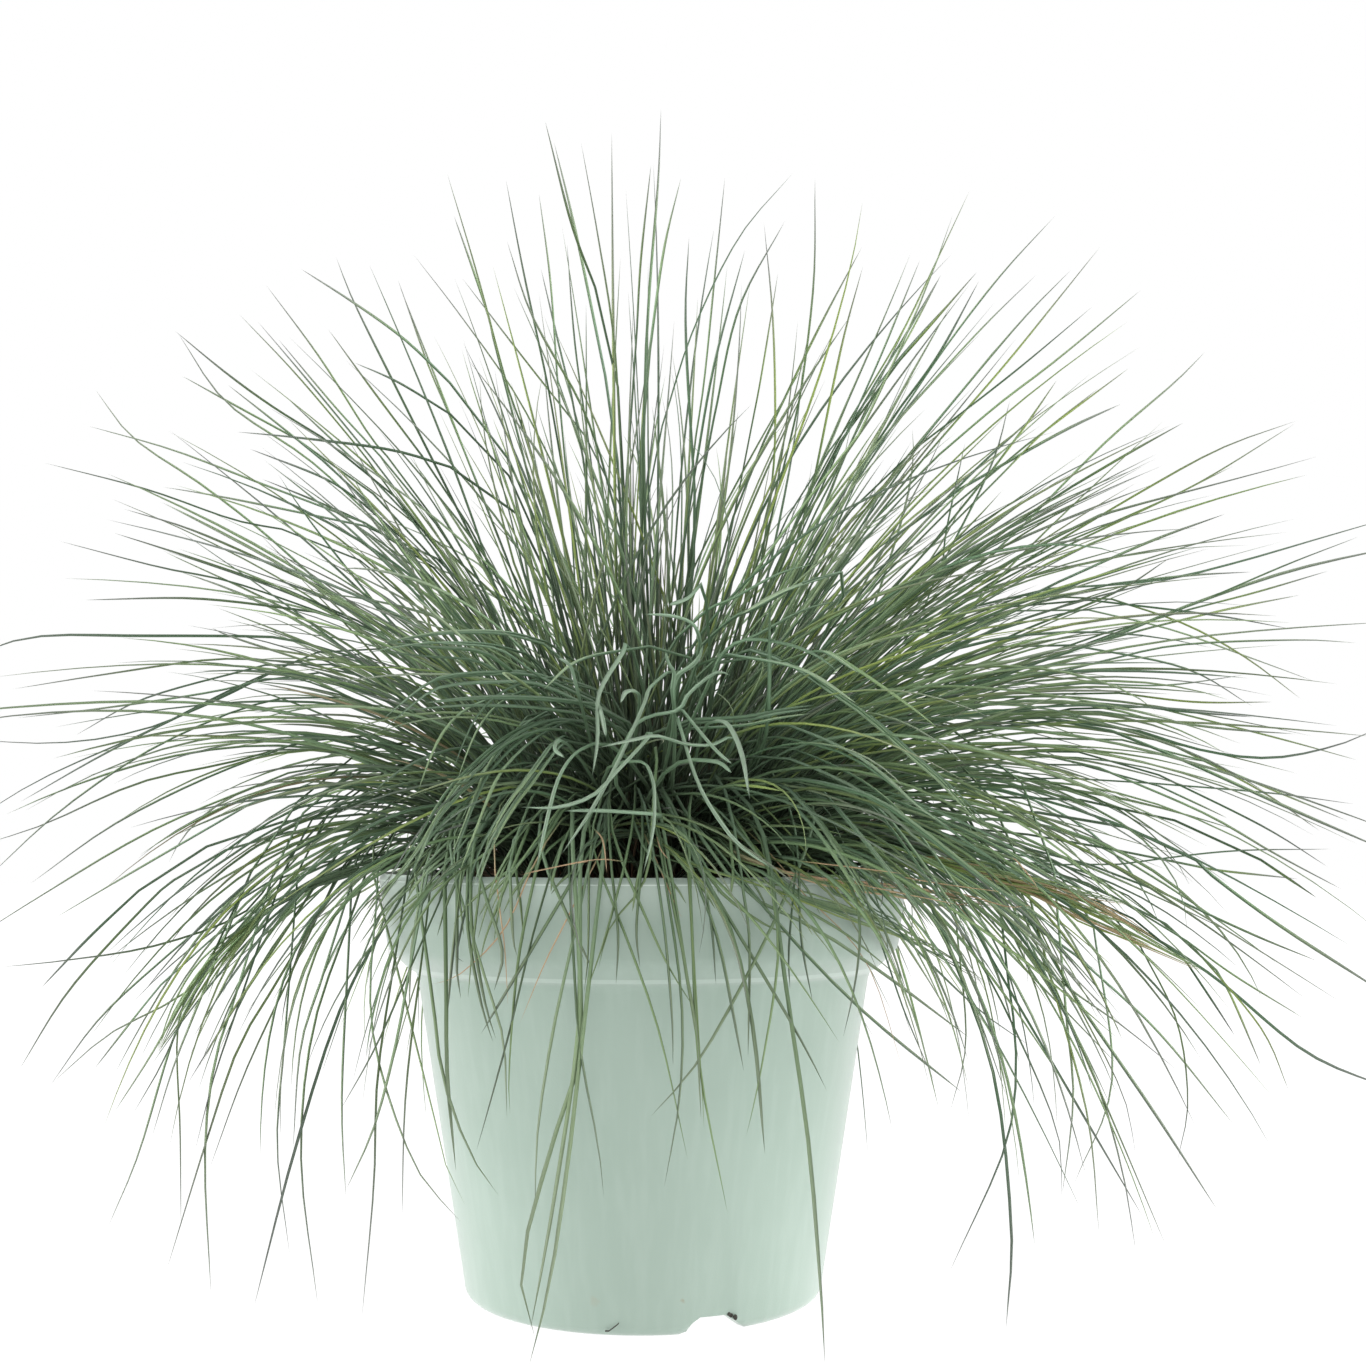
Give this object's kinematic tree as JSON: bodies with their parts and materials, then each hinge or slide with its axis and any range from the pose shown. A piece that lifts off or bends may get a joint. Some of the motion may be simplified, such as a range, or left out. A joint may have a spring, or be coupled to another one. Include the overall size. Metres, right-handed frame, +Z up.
{
  "type": "potted blue fescue clump",
  "caption": "Clump of fine blue-green grass that arches out on all sides from a tapered plastic nursery pot with a banded rim and a notched foot.",
  "frame": {"origin": "on the ground under the middle of the pot's foot, where the pot's axis meets the floor", "axes": "+Z up along the pot's axis, -Y towards the front that the picture shows, +X to the right of that view"},
  "size_m": [0.3882, 0.3882, 0.2888],
  "materials": {
    "pot_plastic": "satin",
    "potting_soil": "matte",
    "grass": "matte"
  },
  "bodies": {
    "root": {"pot": "pot_plastic", "soil": "potting_soil", "tuft_00": "grass", "tuft_01": "grass", "tuft_02": "grass", "tuft_03": "grass", "tuft_04": "grass", "tuft_05": "grass", "tuft_06": "grass", "tuft_07": "grass", "tuft_08": "grass", "tuft_09": "grass", "tuft_10": "grass", "tuft_11": "grass", "tuft_12": "grass", "tuft_13": "grass", "tuft_14": "grass", "tuft_15": "grass", "tuft_16": "grass", "tuft_17": "grass", "tuft_18": "grass", "tuft_19": "grass", "tuft_20": "grass", "tuft_21": "grass", "tuft_22": "grass", "tuft_23": "grass", "tuft_24": "grass", "tuft_25": "grass", "tuft_26": "grass", "tuft_27": "grass", "tuft_28": "grass", "tuft_29": "grass", "tuft_30": "grass", "tuft_31": "grass", "tuft_32": "grass", "tuft_33": "grass", "tuft_34": "grass", "tuft_35": "grass", "tuft_36": "grass", "tuft_37": "grass", "tuft_38": "grass", "tuft_39": "grass", "tuft_40": "grass", "tuft_41": "grass", "tuft_42": "grass", "tuft_43": "grass", "tuft_44": "grass", "tuft_45": "grass", "tuft_46": "grass", "tuft_47": "grass", "tuft_48": "grass", "tuft_49": "grass", "tuft_50": "grass"}
  },
  "joints": []
}
